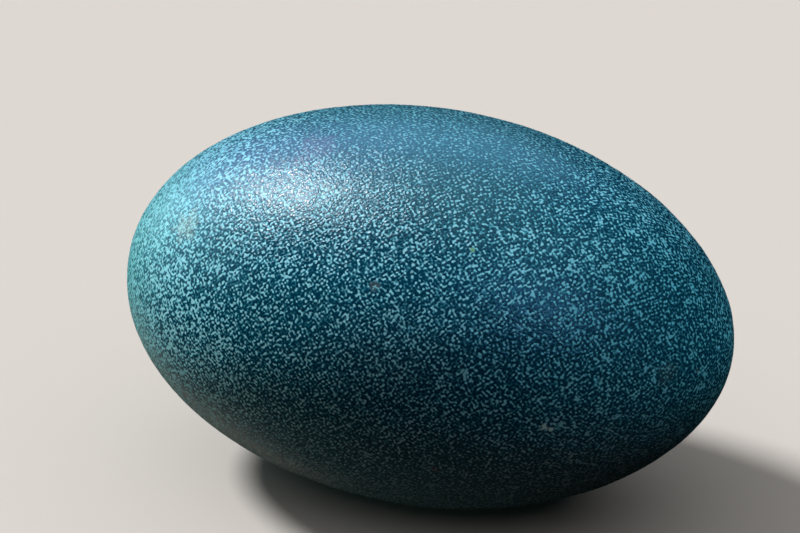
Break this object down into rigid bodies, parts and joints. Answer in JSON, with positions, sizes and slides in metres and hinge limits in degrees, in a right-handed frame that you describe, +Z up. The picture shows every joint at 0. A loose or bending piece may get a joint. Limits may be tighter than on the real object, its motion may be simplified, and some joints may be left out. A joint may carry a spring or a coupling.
{
  "type": "emu egg",
  "caption": "Whole emu egg lying on its side, an elongated egg with a pebbled dark teal shell, slightly blunter at one end, resting on a small flat spot.",
  "frame": {"origin": "on the resting plane, below the middle of the egg's length", "axes": "+X along the level long axis toward the pointed end, +Z up, +Y across the egg"},
  "size_m": [0.136, 0.086, 0.0855],
  "materials": {
    "shell": "natural eggshell: fine dark blue-green granules over a brighter turquoise ground, low gloss on the granules"
  },
  "bodies": {
    "root": {"egg": "shell"}
  },
  "joints": []
}
